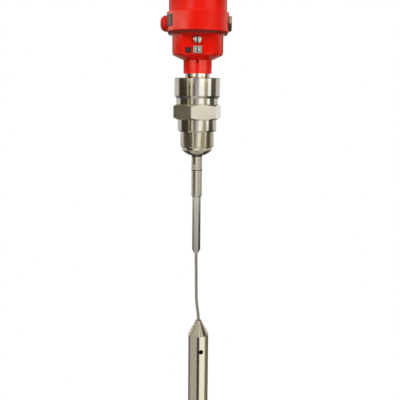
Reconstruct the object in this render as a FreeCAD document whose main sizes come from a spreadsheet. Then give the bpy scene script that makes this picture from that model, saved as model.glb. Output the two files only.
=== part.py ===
# Guided wave radar level transmitter with a wire rope probe, in millimetres.
# Origin at the centre of the sealing shoulder above the process thread, +Z up along the
# probe axis, and the earth terminal on the front, towards -Y.
import FreeCAD, Part
import math
import os
import Sketcher
from types import SimpleNamespace

SIZES = {
    # Process fitting, measured up and down from its sealing shoulder
    "thread_dia": 47.8,
    "thread_length": 22.0,
    "land_dia": 55.2,
    "land_height": 16.5,
    "hex_flats": 60.0,
    "hex_height": 21.5,
    "hex_turn": 16.0,
    "groove_dia": 59.2,
    "groove_height": 8.0,
    "tip_dia": 42.8,
    "tip_length": 4.4,
    "nose_dia": 36.0,
    "nose_length": 6.5,
    "spigot_dia": 40.0,
    "spigot_length": 10.0,
    "gland_bore": 20.0,
    "gland_floor": -26.0,
    # Parts stacked in the gland bore
    "conductor_dia": 8.0,
    "seal_dia": 15.6,
    "seal_drop": 2.8,
    "seal_height": 12.0,
    "spacer_height": 36.0,
    "glass_height": 6.0,
    "gland_ring_height": 6.0,
    # Neck adapter
    "collar_dia": 64.2,
    "collar_height": 24.5,
    "undercut_height": 3.5,
    "collar_chamfer": 1.0,
    "neck_dia": 34.6,
    "neck_height": 8.0,
    "tube_dia": 30.0,
    "tube_bore": 18.0,
    "oring_section": 2.0,
    "oring_depth": 2.1,
    "oring_low": 87.0,
    "oring_high": 103.0,
    "lock_height": 95.7,
    "lock_groove_width": 6.0,
    "lock_groove_depth": 1.8,
    "ring_thickness": 1.3,
    "ring_dia": 36.0,
    "ring_groove_depth": 1.2,
    "neck_end_land": 1.4,
    # Signal path through the neck
    "socket_dia": 10.0,
    "socket_base": 44.0,
    "socket_height": 48.0,
    "signal_dia": 5.0,
    "signal_depth": 6.0,
    "signal_head_dia": 12.0,
    "signal_head_height": 3.0,
    # Housing casting
    "housing_neck_dia": 39.4,
    "housing_neck_end": 79.7,
    "underside_drop": 7.0,
    "can_dia": 70.5,
    "can_bottom": 104.8,
    "can_round": 4.0,
    "flat_round": 4.0,
    "flat_bottom": 106.0,
    "can_flat": 28.0,
    "floor_top": 108.0,
    "lip_dia": 81.0,
    "lip_top_dia": 83.0,
    "lip_bottom": 132.4,
    "entry_ring_dia": 86.0,
    "entry_ring_bottom": 135.2,
    "entry_ring_top": 161.7,
    "entry_ring_round": 1.4,
    "lid_thread_dia": 73.0,
    "lid_thread_height": 11.3,
    "housing_bore": 68.0,
    "cavity_dia": 57.0,
    "cavity_flat": 22.0,
    "cavity_top": 136.0,
    "entry_dia": 20.0,
    "entry_height": 147.0,
    "entry_face": 41.5,
    "entry_face_dia": 26.6,
    "rib_width": 4.3,
    "rib_root": 17.0,
    "rib_reach": 27.0,
    "rib_face": 21.3,
    "rib_shoulder": 102.5,
    "rib_step": 98.0,
    "rib_bottom": 93.4,
    # Screw lid
    "lid_dia": 79.9,
    "lid_height": 28.3,
    "lid_draft": 0.3,
    "lid_round": 4.0,
    "lid_top_wall": 4.8,
    "lid_thread_depth": 13.0,
    "lid_cup_dia": 70.6,
    "lid_joint_gap": 0.3,
    "lid_oring_section": 1.8,
    "lid_oring_height": 2.8,
    # Electronics
    "pot_gap": 1.0,
    "pot_wall": 2.0,
    "pot_base": 113.0,
    "cover_thickness": 3.0,
    "board_thickness": 1.6,
    "board_width": 46.0,
    "board_height": 19.0,
    "terminal_width": 36.0,
    "terminal_depth": 16.0,
    "terminal_height": 11.0,
    "terminal_pitch": 8.0,
    "terminal_screw_dia": 4.0,
    "terminal_screw_length": 5.0,
    "lead_hole_dia": 4.4,
    "module_screw_dia": 3.0,
    "module_screw_head": 5.4,
    "module_screw_circle": 62.4,
    "module_screw_depth": 7.0,
    # Entry cap and blanking plug
    "cap_dia": 22.0,
    "cap_height": 10.0,
    "cap_round": 8.0,
    "entry_thread_length": 7.0,
    "plug_flats": 20.6,
    "plug_turn": 90.0,
    "plug_head": 3.8,
    "plug_seal": 1.0,
    "plug_seal_dia": 21.8,
    # Earth terminal on the flat
    "earth_screw_height": 124.2,
    "earth_screw_flats": 10.0,
    "earth_screw_head": 4.0,
    "earth_screw_thread": 6.0,
    "earth_slot": 1.2,
    "clamp_height": 111.0,
    "clamp_width": 11.4,
    "clamp_tall": 9.3,
    "clamp_thickness": 1.6,
    "clamp_post": 2.2,
    "clamp_post_reach": 3.4,
    "clamp_screw_dia": 4.0,
    "clamp_screw_head": 6.6,
    "clamp_screw_head_height": 2.4,
    "symbol_across": 7.4,
    "symbol_offset": -12.8,
    "symbol_height": 110.3,
    "plate_thickness": 0.4,
    "lock_screw_dia": 3.4,
    # Plate on the entry ring
    "plate_arc": 20.0,
    "plate_turn": -62.0,
    "plate_height": 15.6,
    "plate_middle": 149.6,
    # Probe below the nose
    "nut_dia": 15.4,
    "nut_length": 18.8,
    "nut_flats": 13.0,
    "nut_flat_length": 8.0,
    "nut_turn": 40.0,
    "washer_dia": 16.2,
    "washer_thickness": 1.0,
    "sleeve_length": 38.6,
    "sleeve_chamfer": 2.0,
    "stud_length": 8.0,
    "swage_flats": 10.4,
    "swage_length": 78.0,
    "swage_taper": 6.5,
    "swage_spigot": 12.0,
    "rope_dia": 4.4,
    # Weight at the end of the rope
    "weight_dia": 30.0,
    "weight_offset": 4.3,
    "weight_tip": -281.0,
    "weight_tip_dia": 8.0,
    "weight_cone": 21.5,
    "weight_length": 150.0,
    "weight_bore_depth": 50.0,
    "weight_edge": 1.0,
    "set_screw_dia": 7.0,
    "set_screw_drop": 45.0,
    "set_screw_turn": 17.0,
    "set_screw_length": 6.0,
    # Fits
    "running_gap": 0.05,
    "thread_gap": 0.15,
    "loose_gap": 0.1,
    "body_gap": 0.3,
    "rope_gap": 0.3,
}

# Points of the rope's route as x and z, from the swage terminal into the weight.
# The last two stand on the weight's axis, so only the heights are given there.
ROPE_BENDS = [(0.0, -193.0), (0.5, -211.0), (0.5, -236.0), (1.3, -255.0)]
ROPE_STRAIGHT = (-275.0, -329.0)

doc = FreeCAD.newDocument("level_transmitter")
sheet = doc.addObject("Spreadsheet::Sheet", "sizes")
for row, (alias, number) in enumerate(SIZES.items(), start=1):
    sheet.set("A%d" % row, alias)
    sheet.set("B%d" % row, str(number))
    sheet.setAlias("B%d" % row, alias)
doc.recompute()


class Size:
    """A dimension that keeps its value and the expression that binds it to the sheet."""

    def __init__(self, value, text):
        self.value = value
        self.text = text

    def __add__(self, other):
        other = as_size(other)
        return Size(self.value + other.value, "(%s + %s)" % (self.text, other.text))

    def __sub__(self, other):
        other = as_size(other)
        return Size(self.value - other.value, "(%s - %s)" % (self.text, other.text))

    def __mul__(self, other):
        other = as_size(other)
        return Size(self.value * other.value, "(%s * %s)" % (self.text, other.text))

    def __truediv__(self, other):
        other = as_size(other)
        return Size(self.value / other.value, "(%s / %s)" % (self.text, other.text))

    def __neg__(self):
        return Size(-self.value, "(-1 * %s)" % self.text)


def as_size(number):
    if isinstance(number, Size):
        return number
    return Size(float(number), repr(float(number)))


def sine(degrees):
    return Size(math.sin(math.radians(degrees.value)), "sin(%s)" % degrees.text)


def cosine(degrees):
    return Size(math.cos(math.radians(degrees.value)), "cos(%s)" % degrees.text)


dim = SimpleNamespace(**{alias: Size(float(sheet.get(alias)), "sizes." + alias) for alias in SIZES})
ZERO = as_size(0)

# Stations along the axis that several pieces share
hex_top = dim.land_height + dim.hex_height
fitting_top = hex_top + dim.groove_height
collar_bottom = fitting_top + dim.undercut_height
collar_top = collar_bottom + dim.collar_height
neck_shoulder = collar_top + dim.neck_height
spigot_end = fitting_top - dim.spigot_length
thread_end = -dim.thread_length
tip_end = thread_end - dim.tip_length
nose_end = tip_end - dim.nose_length
seal_end = nose_end - dim.seal_drop
seal_top = dim.gland_floor + dim.seal_height
spacer_top = seal_top + dim.spacer_height
glass_top = spacer_top + dim.glass_height
gland_top = glass_top + dim.gland_ring_height
ring_bottom = dim.floor_top + dim.body_gap
ring_top = ring_bottom + dim.ring_thickness
neck_top = ring_top + dim.neck_end_land
nut_end = seal_end - dim.nut_length
washer_end = nut_end - dim.washer_thickness
sleeve_end = washer_end - dim.sleeve_length
swage_end = sleeve_end - dim.swage_length
rope_start = swage_end - dim.swage_taper
collar_rim = dim.entry_ring_top + dim.lid_thread_height
lid_rim = dim.entry_ring_top + dim.lid_joint_gap
cover_top = dim.cavity_top + dim.cover_thickness
tube_radius = dim.tube_dia / 2
gland_radius = dim.gland_bore / 2
conductor_radius = dim.conductor_dia / 2


def bind(thing, prop, size):
    """Tie a property to the sheet of sizes."""
    thing.setExpression(prop, as_size(size).text)


def origin_plane(body, role):
    return next(item for item in body.Origin.OriginFeatures if item.Role == role)


def new_body(label):
    body = doc.addObject("PartDesign::Body", label)
    body.Label = label
    return body


def new_sketch(body, name, role, offset=None, turn=None):
    """A sketch on one of the body's origin planes, moved along its normal and turned in it."""
    sketch = body.newObject("Sketcher::SketchObject", body.Name + "_" + name)
    sketch.AttachmentSupport = [(origin_plane(body, role), "")]
    sketch.MapMode = "FlatFace"
    if turn is not None:
        sketch.AttachmentOffset = FreeCAD.Placement(
            FreeCAD.Vector(0, 0, 0), FreeCAD.Rotation(FreeCAD.Vector(0, 0, 1), turn.value))
    if offset is not None:
        bind(sketch, "AttachmentOffset.Base.z", offset)
    return sketch


def pin_point(sketch, item, point, across, up):
    """Hold a point of the sketch at a distance from the origin in both directions."""
    for kind, axis, size in (("DistanceX", -2, across), ("DistanceY", -1, up)):
        if size is ZERO:
            sketch.addConstraint(Sketcher.Constraint("PointOnObject", item, point, axis))
        else:
            index = sketch.addConstraint(
                Sketcher.Constraint(kind, -1, 1, item, point, size.value))
            bind(sketch, "Constraints[%d]" % index, size)


def draw_outline(sketch, corners, round_side=None):
    """A closed outline through corners, each a pair of sizes. Its sides are straight, but one
    of them can be a quarter circle."""
    first = sketch.GeometryCount
    points = [FreeCAD.Vector(across.value, up.value, 0) for across, up in corners]
    sides = [Part.LineSegment(a, b) for a, b in zip(points, points[1:] + points[:1])]
    if round_side is not None:
        start, end = points[round_side], points[round_side + 1]
        centre = FreeCAD.Vector(end.x, start.y, 0)
        bulge = (start + end) / 2 - centre
        middle = centre + bulge.normalize() * (start - centre).Length
        sides[round_side] = Part.Arc(start, middle, end)
    sketch.addGeometry(sides, False)
    count = len(sides)
    sketch.addConstraint([
        Sketcher.Constraint("Coincident", first + i, 2, first + (i + 1) % count, 1)
        for i in range(count)])
    for index, (across, up) in enumerate(corners):
        pin_point(sketch, first + index, 1, across, up)


def draw_circle(sketch, across, up, radius):
    centre = FreeCAD.Vector(across.value, up.value, 0)
    item = sketch.addGeometry(
        Part.Circle(centre, FreeCAD.Vector(0, 0, 1), radius.value), False)
    if across is ZERO and up is ZERO:
        sketch.addConstraint(Sketcher.Constraint("Coincident", item, 3, -1, 1))
    else:
        pin_point(sketch, item, 3, across, up)
    index = sketch.addConstraint(Sketcher.Constraint("Radius", item, radius.value))
    bind(sketch, "Constraints[%d]" % index, radius)


def draw_flatted_circle(sketch, radius, flat):
    """A circle about the origin with one flat side, at a distance towards the front."""
    half = math.sqrt(radius.value ** 2 - flat.value ** 2)
    left = math.atan2(-flat.value, -half)
    right = math.atan2(-flat.value, half)
    circle = Part.Circle(FreeCAD.Vector(0, 0, 0), FreeCAD.Vector(0, 0, 1), radius.value)
    arc = sketch.addGeometry(Part.ArcOfCircle(circle, right, left + 2 * math.pi), False)
    chord = sketch.addGeometry(Part.LineSegment(
        FreeCAD.Vector(-half, -flat.value, 0), FreeCAD.Vector(half, -flat.value, 0)), False)
    sketch.addConstraint([
        Sketcher.Constraint("Coincident", arc, 3, -1, 1),
        Sketcher.Constraint("Coincident", arc, 2, chord, 1),
        Sketcher.Constraint("Coincident", chord, 2, arc, 1),
        Sketcher.Constraint("Horizontal", chord)])
    index = sketch.addConstraint(Sketcher.Constraint("Radius", arc, radius.value))
    bind(sketch, "Constraints[%d]" % index, radius)
    index = sketch.addConstraint(
        Sketcher.Constraint("DistanceY", -1, 1, chord, 1, -flat.value))
    bind(sketch, "Constraints[%d]" % index, -flat)


def rectangle(left, right, bottom, top):
    return [(left, bottom), (right, bottom), (right, top), (left, top)]


def hexagon(flats):
    """Corners of a hexagon about the origin, with two of its flats towards the front and back."""
    corner = flats / math.sqrt(3)
    half = corner / 2
    side = flats / 2
    return [(corner, ZERO), (half, side), (-half, side), (-corner, ZERO), (-half, -side),
            (half, -side)]


def add_feature(body, kind, name, sketch, length, backwards=False, both_ways=False):
    """A pad or pocket from a sketch; a pocket has to take something away."""
    before = body.Tip.Shape.Volume if body.Tip else 0
    feature = body.newObject("PartDesign::" + kind, body.Name + "_" + name)
    feature.Profile = sketch
    bind(feature, "Length", length)
    feature.Reversed = backwards
    feature.Midplane = both_ways
    body.Tip = feature
    doc.recompute()
    change = feature.Shape.Volume - before
    if (kind == "Pad") != (change > 0):
        raise RuntimeError(feature.Name + " doesn't change its body as it should")
    return feature


def turned(label, corners):
    """A body of revolution about the vertical axis, from a profile of radii and heights."""
    body = new_body(label)
    sketch = new_sketch(body, "profile", "XZ_Plane")
    draw_outline(sketch, corners)
    feature = body.newObject("PartDesign::Revolution", label + "_turned")
    feature.Profile = sketch
    feature.ReferenceAxis = (sketch, ["V_Axis"])
    feature.Angle = 360
    body.Tip = feature
    doc.recompute()
    return body


def tube(label, inner, outer, bottom, top):
    return turned(label, [(inner, bottom), (outer, bottom), (outer, top), (inner, top)])


def soften(body, kind, name, radius, height, amount):
    """Fillet or chamfer the circular edges that lie at a radius and a height."""
    base = body.Tip
    edges = []
    for number, edge in enumerate(base.Shape.Edges, start=1):
        if not isinstance(edge.Curve, Part.Circle):
            continue
        right_size = abs(edge.Curve.Radius - radius.value) < 0.001
        right_place = abs(edge.CenterOfMass.z - height.value) < 0.001
        if right_size and right_place:
            edges.append("Edge%d" % number)
    feature = body.newObject("PartDesign::" + kind, body.Name + "_" + name)
    feature.Base = (base, edges)
    bind(feature, "Radius" if kind == "Fillet" else "Size", amount)
    body.Tip = feature
    doc.recompute()


def cut_hexagon(body, flats, bottom, top, turn=None):
    """Mill six flats on a turned piece between two heights."""
    sketch = new_sketch(body, "hexagon", "XY_Plane", top, turn)
    draw_circle(sketch, ZERO, ZERO, flats)
    draw_outline(sketch, hexagon(flats))
    add_feature(body, "Pocket", "flats", sketch, top - bottom)


def oring(label, radius, height, section):
    """A rubber ring, its section a circle about a height."""
    body = new_body(label)
    sketch = new_sketch(body, "section", "XZ_Plane")
    draw_circle(sketch, radius, height, section / 2)
    feature = body.newObject("PartDesign::Revolution", label + "_turned")
    feature.Profile = sketch
    feature.ReferenceAxis = (sketch, ["V_Axis"])
    feature.Angle = 360
    body.Tip = feature
    doc.recompute()
    return body


def face_outwards(body, axis, degrees):
    body.Placement = FreeCAD.Placement(
        FreeCAD.Vector(0, 0, 0), FreeCAD.Rotation(FreeCAD.Vector(*axis), degrees))


# Process fitting: one turned bar with a milled hexagon, the pipe thread left plain
corner_radius = dim.hex_flats / math.sqrt(3)
chamfer_radius = dim.hex_flats / 2 - dim.collar_chamfer
hex_fall = (corner_radius - chamfer_radius) * math.tan(math.radians(30))
seal_hole = dim.seal_dia / 2 + dim.loose_gap
fitting = turned("process_fitting", [
    (gland_radius, spigot_end),
    (dim.spigot_dia / 2, spigot_end),
    (dim.spigot_dia / 2, fitting_top),
    (dim.groove_dia / 2, fitting_top),
    (dim.groove_dia / 2, hex_top),
    (chamfer_radius, hex_top),
    (corner_radius, hex_top - hex_fall),
    (corner_radius, dim.land_height + hex_fall),
    (chamfer_radius, dim.land_height),
    (dim.land_dia / 2, dim.land_height),
    (dim.land_dia / 2, ZERO),
    (dim.thread_dia / 2, ZERO),
    (dim.thread_dia / 2, thread_end),
    (dim.tip_dia / 2, thread_end),
    (dim.tip_dia / 2, tip_end),
    (dim.nose_dia / 2, nose_end + dim.nose_length / 2),
    (dim.nose_dia / 4 + seal_hole / 2, nose_end),
    (seal_hole, nose_end),
    (seal_hole, dim.gland_floor),
    (gland_radius, dim.gland_floor)])
cut_hexagon(fitting, dim.hex_flats, dim.land_height, hex_top, dim.hex_turn)
soften(fitting, "Chamfer", "land_edge", dim.land_dia / 2, ZERO, dim.collar_chamfer * 2)
soften(fitting, "Chamfer", "thread_start", dim.thread_dia / 2, thread_end, dim.collar_chamfer)
soften(fitting, "Fillet", "tip_round", dim.tip_dia / 2, tip_end, dim.collar_chamfer * 1.5)

# Seal, spacer, glass and ring that hold the conductor in the fitting's bore
stack_radius = gland_radius - dim.loose_gap
stack_bore = conductor_radius + dim.loose_gap
turned("nose_seal", [
    (stack_bore, seal_end),
    (dim.seal_dia / 2, seal_end),
    (dim.seal_dia / 2, dim.gland_floor),
    (stack_radius, dim.gland_floor),
    (stack_radius, seal_top),
    (stack_bore, seal_top)])
tube("spacer_sleeve", stack_bore, stack_radius, seal_top, spacer_top)
tube("glass_seal", stack_bore, stack_radius, spacer_top, glass_top)
tube("gland_ring", stack_bore, stack_radius, glass_top, gland_top)
nut_bore_end = seal_end - dim.stud_length
conductor = tube("inner_conductor", ZERO, conductor_radius, nut_bore_end, dim.socket_base)
soften(conductor, "Chamfer", "end", conductor_radius, nut_bore_end, dim.collar_chamfer)

# Neck adapter: steel neck, grooves for the rings and the collar above the fitting
spigot_radius = dim.spigot_dia / 2 - dim.loose_gap
lock_radius = tube_radius - dim.lock_groove_depth
oring_floor = tube_radius - dim.oring_depth
lock_bottom = dim.lock_height - dim.lock_groove_width / 2
lock_top = dim.lock_height + dim.lock_groove_width / 2
ring_floor = tube_radius - dim.ring_groove_depth


def groove(floor, bottom, top):
    return [(tube_radius, bottom), (floor, bottom), (floor, top), (tube_radius, top)]


def oring_groove(height):
    half = dim.oring_section / 2 + dim.loose_gap
    return groove(oring_floor, height - half, height + half)


adapter = turned("neck_adapter", [
    (dim.tube_bore / 2, spigot_end),
    (spigot_radius, spigot_end),
    (spigot_radius, fitting_top),
    (dim.groove_dia / 2, fitting_top),
    (dim.collar_dia / 2, collar_bottom),
    (dim.collar_dia / 2, collar_top),
    (dim.neck_dia / 2, collar_top),
    (dim.neck_dia / 2, neck_shoulder),
    (tube_radius, neck_shoulder)]
    + oring_groove(dim.oring_low)
    + groove(lock_radius, lock_bottom, lock_top)
    + oring_groove(dim.oring_high)
    + groove(ring_floor, ring_bottom - dim.loose_gap, ring_top + dim.loose_gap)
    + [(tube_radius, neck_top), (dim.tube_bore / 2, neck_top)])
soften(adapter, "Chamfer", "collar_edge", dim.collar_dia / 2, collar_top, dim.collar_chamfer)

neck_bore = tube_radius + dim.running_gap
oring_radius = neck_bore - dim.loose_gap - dim.oring_section / 2
oring("neck_oring_lower", oring_radius, dim.oring_low, dim.oring_section)
oring("neck_oring_upper", oring_radius, dim.oring_high, dim.oring_section)
tube("retaining_ring", ring_floor + dim.loose_gap, dim.ring_dia / 2, ring_bottom, ring_top)

# Coaxial signal path: socket and insulator in the neck, rod under the electronics
socket_top = dim.socket_base + dim.socket_height
socket_bore = dim.signal_dia / 2 + dim.running_gap
socket_floor = dim.socket_base + dim.socket_height / 2
turned("signal_socket", [
    (ZERO, dim.socket_base),
    (dim.socket_dia / 2, dim.socket_base),
    (dim.socket_dia / 2, socket_top),
    (socket_bore, socket_top),
    (socket_bore, socket_floor),
    (ZERO, socket_floor)])
tube("neck_insulator", dim.socket_dia / 2 + dim.loose_gap, dim.tube_bore / 2 - dim.loose_gap,
     gland_top, socket_top)
rod_end = socket_top - dim.signal_depth
head_bottom = dim.pot_base - dim.signal_head_height
turned("signal_rod", [
    (ZERO, rod_end),
    (dim.signal_dia / 2, rod_end),
    (dim.signal_dia / 2, head_bottom),
    (dim.signal_head_dia / 2, head_bottom),
    (dim.signal_head_dia / 2, dim.pot_base),
    (ZERO, dim.pot_base)])

# Housing: one casting with a neck, a can with a flat front, the entry ring and the lid collar
neck_outer = dim.housing_neck_dia / 2
can_radius = dim.can_dia / 2
ring_radius = dim.entry_ring_dia / 2
collar_radius = dim.lid_thread_dia / 2
bore_radius = dim.housing_bore / 2
counterbore = dim.neck_dia / 2 + dim.loose_gap
shoulder = neck_shoulder + dim.body_gap
housing = turned("housing_body", [
    (counterbore, dim.housing_neck_end),
    (neck_outer, dim.housing_neck_end),
    (neck_outer, dim.can_bottom - dim.underside_drop),
    (can_radius, dim.can_bottom),
    (can_radius, dim.lip_bottom),
    (dim.lip_dia / 2, dim.lip_bottom),
    (dim.lip_top_dia / 2, dim.entry_ring_bottom),
    (ring_radius, dim.entry_ring_bottom),
    (ring_radius, dim.entry_ring_top),
    (collar_radius, dim.entry_ring_top),
    (collar_radius, collar_rim),
    (bore_radius, collar_rim),
    (bore_radius, dim.cavity_top),
    (neck_bore, dim.cavity_top),
    (neck_bore, shoulder),
    (counterbore, shoulder)])
soften(housing, "Fillet", "can_edge", can_radius, dim.can_bottom, dim.can_round)
soften(housing, "Fillet", "ring_low_edge", ring_radius, dim.entry_ring_bottom,
       dim.entry_ring_round)
soften(housing, "Fillet", "ring_high_edge", ring_radius, dim.entry_ring_top,
       dim.entry_ring_round)

cavity = new_sketch(housing, "cavity", "XY_Plane", dim.cavity_top)
draw_flatted_circle(cavity, dim.cavity_dia / 2, dim.cavity_flat)
add_feature(housing, "Pocket", "cavity", cavity, dim.cavity_top - dim.floor_top)

# The flat front and its rounded lower edge are one cut, drawn from the side
flat_end = dim.can_bottom - dim.underside_drop - dim.can_round
round_depth = dim.can_flat - dim.flat_round
front = new_sketch(housing, "front", "YZ_Plane")
draw_outline(front, [(-dim.can_flat, dim.lip_bottom), (-dim.can_flat, dim.flat_bottom),
                     (-round_depth, dim.flat_bottom - dim.flat_round),
                     (-round_depth, flat_end), (-ring_radius, flat_end),
                     (-ring_radius, dim.lip_bottom)], round_side=1)
add_feature(housing, "Pocket", "flat_front", front, dim.can_dia, both_ways=True)

# A rib under the flat ends in the boss for the lock screw
rib = new_sketch(housing, "rib", "YZ_Plane")
draw_outline(rib, [(-dim.rib_root, dim.can_bottom), (-dim.rib_reach, dim.can_bottom),
                   (-dim.rib_reach, dim.rib_shoulder), (-dim.rib_face, dim.rib_step),
                   (-dim.rib_face, dim.rib_bottom), (-dim.rib_root, dim.rib_bottom)])
add_feature(housing, "Pad", "rib", rib, dim.rib_width, both_ways=True)

entries = new_sketch(housing, "entries", "YZ_Plane")
draw_circle(entries, ZERO, dim.entry_height, dim.entry_dia / 2)
add_feature(housing, "Pocket", "entries", entries, dim.entry_ring_dia * 1.1, both_ways=True)

for name, side, backwards in (("left", -1, False), ("right", 1, True)):
    face = new_sketch(housing, "face_" + name, "YZ_Plane", dim.entry_face * side)
    draw_circle(face, ZERO, dim.entry_height, dim.entry_face_dia / 2)
    add_feature(housing, "Pocket", "face_" + name, face, ring_radius, backwards)


def drill_front(name, across, height, radius, start, reach):
    """A hole drilled into the front of the housing, from a depth inside it outwards."""
    sketch = new_sketch(housing, name, "XZ_Plane", start)
    draw_circle(sketch, across, height, radius)
    add_feature(housing, "Pocket", name, sketch, reach, backwards=True)


screw_floor = dim.cavity_flat + dim.loose_gap
earth_hole = dim.earth_screw_thread / 2
clamp_hole = dim.clamp_screw_dia / 2
drill_front("lock_hole", ZERO, dim.lock_height, dim.lock_screw_dia / 2, ZERO, can_radius)
drill_front("earth_hole", ZERO, dim.earth_screw_height, earth_hole, dim.cavity_flat,
            dim.can_flat)
drill_front("clamp_hole", ZERO, dim.clamp_height, clamp_hole, dim.cavity_flat, dim.can_flat)

module_turns = (45, 225)
module_circle = dim.module_screw_circle / 2
module_hole = dim.module_screw_dia / 2


def on_module_circle(turn):
    angle = math.radians(turn)
    return module_circle * math.cos(angle), module_circle * math.sin(angle)


holes = new_sketch(housing, "module_holes", "XY_Plane", dim.cavity_top)
for turn in module_turns:
    across, along = on_module_circle(turn)
    draw_circle(holes, across, along, module_hole + dim.loose_gap)
add_feature(housing, "Pocket", "module_holes", holes, dim.module_screw_depth + dim.loose_gap)

# Lid: a cap whose thread runs on the housing's collar, with a rubber ring near its rim
lid_thread = collar_radius + dim.thread_gap
lid_top = lid_rim + dim.lid_height
lid_outer = dim.lid_dia / 2
lid_step = lid_rim + dim.lid_thread_depth
lid_ring_middle = lid_rim + dim.lid_oring_height
lid_ring_half = dim.lid_oring_section / 2 + dim.loose_gap
lid_ring_floor = lid_thread + dim.lid_oring_section + dim.loose_gap
lid = turned("screw_lid", [
    (lid_thread, lid_rim),
    (lid_outer, lid_rim),
    (lid_outer - dim.lid_draft, lid_top),
    (ZERO, lid_top),
    (ZERO, lid_top - dim.lid_top_wall),
    (dim.lid_cup_dia / 2, lid_top - dim.lid_top_wall),
    (dim.lid_cup_dia / 2, lid_step),
    (lid_thread, lid_step),
    (lid_thread, lid_ring_middle + lid_ring_half),
    (lid_ring_floor, lid_ring_middle + lid_ring_half),
    (lid_ring_floor, lid_ring_middle - lid_ring_half),
    (lid_thread, lid_ring_middle - lid_ring_half)])
soften(lid, "Fillet", "top_edge", lid_outer - dim.lid_draft, lid_top, dim.lid_round)
soften(lid, "Fillet", "inner_edge", dim.lid_cup_dia / 2, lid_top - dim.lid_top_wall,
       dim.lid_round / 2)
oring("lid_oring", lid_thread + dim.lid_oring_section / 2 + dim.running_gap, lid_ring_middle,
      dim.lid_oring_section)

# Electronics: a flatted pot hung in the can from its cover, with a board standing in it
pot_radius = dim.cavity_dia / 2 - dim.pot_gap
pot_flat = dim.cavity_flat - dim.pot_gap
pot_floor = dim.pot_base + dim.pot_wall
pot = new_body("electronics_pot")
pot_sketch = new_sketch(pot, "outside", "XY_Plane", dim.pot_base)
draw_flatted_circle(pot_sketch, pot_radius, pot_flat)
add_feature(pot, "Pad", "outside", pot_sketch, dim.cavity_top - dim.pot_base)
pot_inside = new_sketch(pot, "inside", "XY_Plane", dim.cavity_top)
draw_flatted_circle(pot_inside, pot_radius - dim.pot_wall, pot_flat - dim.pot_wall)
add_feature(pot, "Pocket", "inside", pot_inside, dim.cavity_top - pot_floor)

board = new_body("circuit_board")
board_sketch = new_sketch(board, "outline", "XZ_Plane")
draw_outline(board_sketch, rectangle(-dim.board_width / 2, dim.board_width / 2, pot_floor,
                                     pot_floor + dim.board_height))
add_feature(board, "Pad", "sheet", board_sketch, dim.board_thickness, both_ways=True)

cover = tube("module_cover", ZERO, bore_radius - dim.body_gap, dim.cavity_top, cover_top)
cover_holes = new_sketch(cover, "holes", "XY_Plane", cover_top)
for turn in module_turns:
    across, along = on_module_circle(turn)
    draw_circle(cover_holes, across, along, module_hole + dim.loose_gap)
add_feature(cover, "Pocket", "holes", cover_holes, dim.cover_thickness)

for number, turn in enumerate(module_turns, start=1):
    across, along = on_module_circle(turn)
    screw = turned("module_screw_%d" % number, [
        (ZERO, dim.cavity_top - dim.module_screw_depth),
        (module_hole, dim.cavity_top - dim.module_screw_depth),
        (module_hole, cover_top),
        (dim.module_screw_head / 2, cover_top),
        (dim.module_screw_head / 2, cover_top + module_hole),
        (ZERO, cover_top + module_hole)])
    bind(screw, "Placement.Base.x", across)
    bind(screw, "Placement.Base.y", along)

# Terminal block on the cover: screw wells on top and holes for the leads in its front
block = new_body("terminal_block")
block_top = cover_top + dim.terminal_height
block_sketch = new_sketch(block, "outline", "XY_Plane", cover_top)
draw_outline(block_sketch, rectangle(-dim.terminal_width / 2, dim.terminal_width / 2,
                                     -dim.terminal_depth / 2, dim.terminal_depth / 2))
add_feature(block, "Pad", "block", block_sketch, dim.terminal_height)
terminal_places = [dim.terminal_pitch * step for step in (-1.5, -0.5, 0.5, 1.5)]
well_radius = dim.terminal_screw_dia / 2 + dim.loose_gap
well_depth = dim.terminal_screw_length + dim.loose_gap * 5
wells = new_sketch(block, "wells", "XY_Plane", block_top)
leads = new_sketch(block, "leads", "XZ_Plane", dim.terminal_depth / 2)
for place in terminal_places:
    draw_circle(wells, place, ZERO, well_radius)
    draw_circle(leads, place, cover_top + dim.lead_hole_dia * 0.7, dim.lead_hole_dia / 2)
add_feature(block, "Pocket", "wells", wells, well_depth)
add_feature(block, "Pocket", "leads", leads, dim.terminal_depth / 3)
for number, place in enumerate(terminal_places, start=1):
    screw_bottom = block_top - well_depth
    screw = tube("terminal_screw_%d" % number, ZERO, dim.terminal_screw_dia / 2, screw_bottom,
                 screw_bottom + dim.terminal_screw_length)
    slot = new_sketch(screw, "slot", "XY_Plane", screw_bottom + dim.terminal_screw_length)
    draw_outline(slot, rectangle(-dim.terminal_screw_dia, dim.terminal_screw_dia,
                                 -dim.terminal_screw_dia / 10, dim.terminal_screw_dia / 10))
    add_feature(screw, "Pocket", "slot", slot, dim.terminal_screw_length / 4)
    bind(screw, "Placement.Base.x", place)

# Red cap in the left entry and metal plug with its seal in the right one, each turned
# about its own axis and then laid along X
entry_thread = dim.entry_dia / 2 - dim.thread_gap
cap = turned("entry_cap", [
    (ZERO, -dim.entry_thread_length),
    (entry_thread, -dim.entry_thread_length),
    (entry_thread, ZERO),
    (dim.cap_dia / 2, ZERO),
    (dim.cap_dia / 2, dim.cap_height),
    (ZERO, dim.cap_height)])
soften(cap, "Fillet", "dome", dim.cap_dia / 2, dim.cap_height, dim.cap_round)
face_outwards(cap, (0, 1, 0), -90)
bind(cap, "Placement.Base.x", -dim.entry_face)
bind(cap, "Placement.Base.z", dim.entry_height)

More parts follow.
